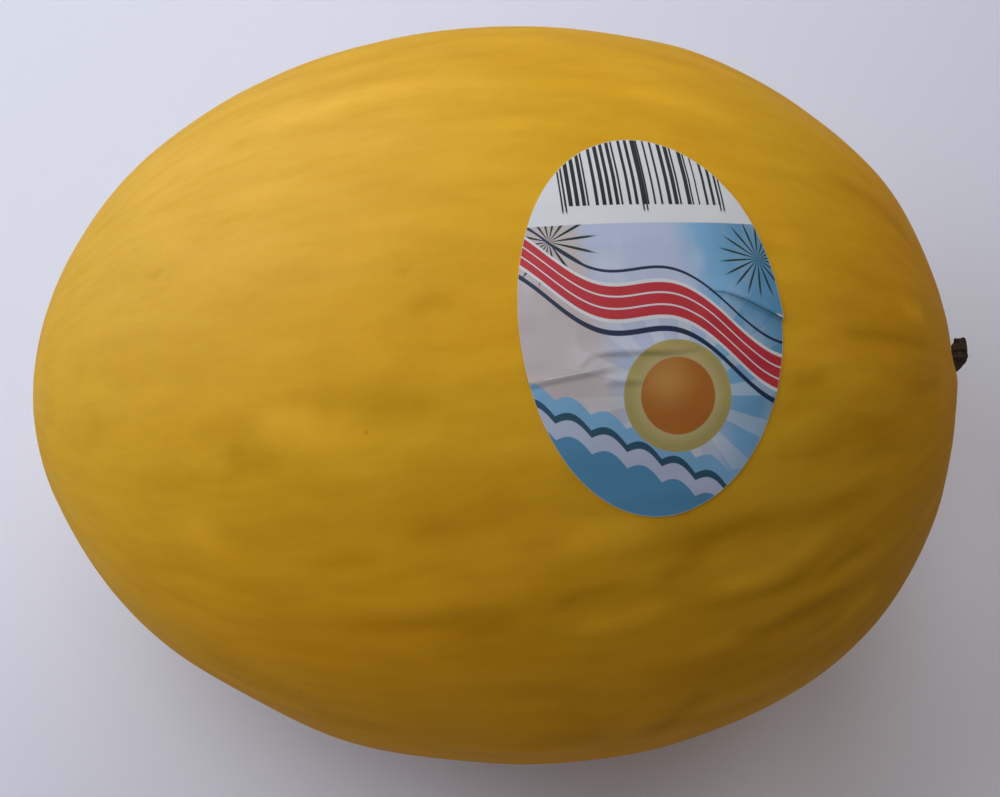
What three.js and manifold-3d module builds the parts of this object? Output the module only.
// A whole yellow-skinned honeydew melon lying on its side, with the dried stub of its stem and
// an oval paper label. Millimetres, +Z up. The origin is the middle of the small flat spot that
// the fruit rests on, and +X runs along the fruit to its stem end.
import * as THREE from 'three';
import { mergeVertices } from 'three/addons/utils/BufferGeometryUtils.js';
import Module from 'manifold-3d';

const wasm = await Module();
wasm.setup();

// Fruit. Its outline is an ellipse along the long axis, made fuller toward the stem end by a
// polynomial in t, the fraction of the half-length from -1 (blossom end) to +1 (stem end).
const FRUIT_LENGTH = 182;
const GIRTH_RADIUS = 72.7;
const FULLNESS = [1, 0.048, 0.043, 0.052];
const REST_FLATTENING = 0.7; // how far the weight presses the skin flat
const FRUIT_STEPS_ALONG = 36;
const FRUIT_STEPS_ROUND = 64;

// Dried stem stub, a little off the long axis: a flared foot and a short bent bar.
const STEM_OFFSET_Y = 5.6;
const STEM_OFFSET_Z = 5.2;
const FOOT_RADIUS = 3.6;
const FOOT_HEIGHT = 2.0;
const BAR_RADIUS = 1.4;
const BAR_RISE = 3.2; // how far the bar's middle stands off the skin
const BAR_REACH = 6.2; // how far it then runs sideways along the skin
const BAR_LEAN = THREE.MathUtils.degToRad(20); // its way along the skin, from +Y up toward +Z
const BAR_RIDGES = 5;

// Oval label, laid on the upper side toward the stem end.
const LABEL_WIDTH = 44; // along the fruit
const LABEL_HEIGHT = 65; // round the fruit
const LABEL_STATION = 25.8; // from mid-length, toward the stem
const LABEL_ROLL = THREE.MathUtils.degToRad(9.3); // from the top of the fruit, toward -Y
const LABEL_TURN = THREE.MathUtils.degToRad(5.3); // its upper end leans toward the blossom end
const LABEL_THICKNESS = 0.25;
const LABEL_RINGS = 6;
const LABEL_STEPS_ROUND = 48;

const GAP = 0.3; // clear space kept between touching pieces
const HALF_LENGTH = FRUIT_LENGTH / 2;

// ---- The skin, as a surface about the long axis (X), with mid-length at x = 0 ----

function radiusAt(t) {
  const fullness = FULLNESS.reduce((sum, factor, power) => sum + factor * t ** power, 0);
  return GIRTH_RADIUS * Math.sqrt(Math.max(1 - t * t, 0)) * fullness;
}

// The station, as a fraction of the half-length, where the fruit is thickest.
function widestStation() {
  const step = 1e-3;
  let t = 0;
  while (radiusAt(t + step) > radiusAt(t)) t += step;
  return t;
}

// The station near the stem end where the fruit has the radius given.
function stemEndStation(radius) {
  let low = 0.5;
  let high = 1;
  while (high - low > 1e-6) {
    const middle = (low + high) / 2;
    if (radiusAt(middle) > radius) low = middle;
    else high = middle;
  }
  return low;
}

function snapToSkin(point) {
  const scale = radiusAt(point.x / HALF_LENGTH) / Math.hypot(point.y, point.z);
  point.y *= scale;
  point.z *= scale;
}

function skinNormal(point) {
  const step = 0.05;
  const ahead = radiusAt((point.x + step) / HALF_LENGTH);
  const behind = radiusAt((point.x - step) / HALF_LENGTH);
  const radius = Math.hypot(point.y, point.z);
  const slope = (ahead - behind) / (2 * step);
  return new THREE.Vector3(-slope, point.y / radius, point.z / radius).normalize();
}

// ---- Joining and cutting ----

function toSolid(geometry) {
  const bare = geometry.clone();
  bare.deleteAttribute('normal');
  bare.deleteAttribute('uv');
  const merged = mergeVertices(bare, 1e-4);
  const triVerts = [];
  const { array } = merged.index;
  for (let i = 0; i < array.length; i += 3) {
    const [a, b, c] = array.slice(i, i + 3);
    if (a !== b && b !== c && c !== a) triVerts.push(a, b, c);
  }
  const vertProperties = merged.attributes.position.array;
  return new wasm.Manifold(
    new wasm.Mesh({ numProp: 3, vertProperties, triVerts: Uint32Array.from(triVerts) }),
  );
}

function toGeometry(solid) {
  const mesh = solid.getMesh();
  return indexedGeometry(mesh.vertProperties, mesh.triVerts);
}

function indexedGeometry(positions, triangles) {
  const geometry = new THREE.BufferGeometry();
  geometry.setAttribute('position', new THREE.Float32BufferAttribute(positions, 3));
  geometry.setIndex(Array.from(triangles));
  geometry.computeVertexNormals();
  return geometry;
}

function namedMesh(name, geometry, material) {
  const mesh = new THREE.Mesh(geometry, material);
  mesh.name = name;
  return mesh;
}

// ---- Fruit: rind, flesh and seeds in one closed body ----

function fruit() {
  const profile = [];
  for (let i = 0; i <= FRUIT_STEPS_ALONG; i++) {
    const t = -Math.cos((Math.PI * i) / FRUIT_STEPS_ALONG);
    profile.push(new THREE.Vector2(radiusAt(t), t * HALF_LENGTH));
  }
  const skin = new THREE.LatheGeometry(profile, FRUIT_STEPS_ROUND);
  skin.rotateZ(-Math.PI / 2);

  const ground = new THREE.BoxGeometry(FRUIT_LENGTH, FRUIT_LENGTH, GIRTH_RADIUS);
  ground.translate(0, 0, -AXIS_HEIGHT - GIRTH_RADIUS / 2);
  const flattened = toSolid(skin).subtract(toSolid(ground));
  const material = new THREE.MeshStandardMaterial({
    color: '#d0a030',
    roughness: 0.45,
    metalness: 0,
  });
  return namedMesh('melon_fruit', toGeometry(flattened), material);
}

// ---- Stem stub, built standing on z = 0, with its bar bending toward +Y ----

function stemFoot() {
  const profile = [
    new THREE.Vector2(0, 0),
    new THREE.Vector2(FOOT_RADIUS, 0),
    new THREE.Vector2(FOOT_RADIUS * 0.92, FOOT_HEIGHT * 0.25),
    new THREE.Vector2(FOOT_RADIUS * 0.6, FOOT_HEIGHT * 0.6),
    new THREE.Vector2(BAR_RADIUS, FOOT_HEIGHT),
    new THREE.Vector2(0, FOOT_HEIGHT),
  ];
  return new THREE.LatheGeometry(profile, 20).rotateX(Math.PI / 2);
}

function ridgedSection() {
  const points = [];
  const corners = BAR_RIDGES * 2;
  for (let i = 0; i < corners; i++) {
    const angle = (2 * Math.PI * i) / corners;
    const radius = BAR_RADIUS * (i % 2 === 0 ? 1 : 0.82);
    points.push(new THREE.Vector2(radius * Math.cos(angle), radius * Math.sin(angle)));
  }
  return new THREE.Shape(points);
}

function stemBar() {
  const path = new THREE.CatmullRomCurve3([
    new THREE.Vector3(0, 0, FOOT_HEIGHT * 0.3),
    new THREE.Vector3(0, BAR_REACH * 0.08, BAR_RISE * 0.6),
    new THREE.Vector3(0, BAR_REACH * 0.3, BAR_RISE * 0.95),
    new THREE.Vector3(0, BAR_REACH * 0.62, BAR_RISE),
    new THREE.Vector3(0, BAR_REACH, BAR_RISE * 0.94),
  ]);
  return new THREE.ExtrudeGeometry(ridgedSection(), {
    steps: 14,
    extrudePath: path,
    curveSegments: 1,
  });
}

function stemStub() {
  const material = new THREE.MeshStandardMaterial({
    color: '#2c1f16',
    roughness: 0.9,
    metalness: 0,
  });
  const geometry = toGeometry(toSolid(stemFoot()).add(toSolid(stemBar())));
  const stub = namedMesh('stem_stub', geometry, material);

  const station = stemEndStation(Math.hypot(STEM_OFFSET_Y, STEM_OFFSET_Z));
  const root = new THREE.Vector3(station * HALF_LENGTH, STEM_OFFSET_Y, STEM_OFFSET_Z);
  const outward = skinNormal(root);
  const bend = new THREE.Vector3(0, Math.cos(BAR_LEAN), Math.sin(BAR_LEAN));
  bend.projectOnPlane(outward).normalize();
  const side = new THREE.Vector3().crossVectors(bend, outward);
  stub.quaternion.setFromRotationMatrix(new THREE.Matrix4().makeBasis(side, bend, outward));
  stub.position.copy(root).addScaledVector(outward, GAP);
  return stub;
}

// ---- Label ----

// Lays a flat point of the label on the skin, walking straight out from the label's middle, as
// paper is smoothed down. `along` runs toward the stem and `across` toward +Y.
function layOnSkin(along, across) {
  const steps = 24;
  const stride = Math.hypot(along, across) / steps;
  const point = new THREE.Vector3(LABEL_STATION, -Math.sin(LABEL_ROLL), Math.cos(LABEL_ROLL));
  snapToSkin(point);
  let normal = skinNormal(point);
  const girthwise = new THREE.Vector3().crossVectors(normal, new THREE.Vector3(1, 0, 0));
  girthwise.normalize();
  const lengthwise = new THREE.Vector3().crossVectors(girthwise, normal);
  const heading = lengthwise.multiplyScalar(along).addScaledVector(girthwise, across);
  heading.applyAxisAngle(normal, LABEL_TURN);
  for (let step = 0; step < steps; step++) {
    heading.projectOnPlane(normal).normalize();
    point.addScaledVector(heading, stride);
    snapToSkin(point);
    normal = skinNormal(point);
  }
  return { point, normal };
}

// One face of the label as a middle point and rings round it, at a height above the skin.
function labelFace(height) {
  const positions = [];
  const addPoint = (along, across) => {
    const { point, normal } = layOnSkin(along, across);
    point.addScaledVector(normal, height);
    positions.push(point.x, point.y, point.z);
  };
  addPoint(0, 0);
  for (let ring = 1; ring <= LABEL_RINGS; ring++) {
    for (let i = 0; i < LABEL_STEPS_ROUND; i++) {
      const angle = (2 * Math.PI * i) / LABEL_STEPS_ROUND;
      const size = ring / LABEL_RINGS / 2;
      addPoint(LABEL_WIDTH * size * Math.cos(angle), LABEL_HEIGHT * size * Math.sin(angle));
    }
  }
  return positions;
}

function ovalLabel() {
  const positions = [...labelFace(GAP + LABEL_THICKNESS), ...labelFace(GAP)];
  const underside = positions.length / 6;
  const onRing = (ring, i) => 1 + (ring - 1) * LABEL_STEPS_ROUND + (i % LABEL_STEPS_ROUND);
  const triangles = [];
  const addBoth = (a, b, c) => {
    triangles.push(a, b, c);
    triangles.push(underside + a, underside + c, underside + b);
  };
  for (let i = 0; i < LABEL_STEPS_ROUND; i++) {
    addBoth(0, onRing(1, i), onRing(1, i + 1));
    for (let ring = 1; ring < LABEL_RINGS; ring++) {
      addBoth(onRing(ring, i), onRing(ring + 1, i), onRing(ring + 1, i + 1));
      addBoth(onRing(ring, i), onRing(ring + 1, i + 1), onRing(ring, i + 1));
    }
    const here = onRing(LABEL_RINGS, i);
    const next = onRing(LABEL_RINGS, i + 1);
    triangles.push(here, underside + here, underside + next);
    triangles.push(here, underside + next, next);
  }
  const material = new THREE.MeshStandardMaterial({
    color: '#c9d3e2',
    roughness: 0.5,
    metalness: 0,
  });
  return namedMesh('oval_label', indexedGeometry(positions, triangles), material);
}

// ---- The whole melon, set down on its flat spot ----

const WIDEST = widestStation();
const AXIS_HEIGHT = radiusAt(WIDEST) - REST_FLATTENING;

const melon = new THREE.Group();
melon.add(fruit(), stemStub(), ovalLabel());
melon.position.set(-WIDEST * HALF_LENGTH, 0, AXIS_HEIGHT);

export default melon;
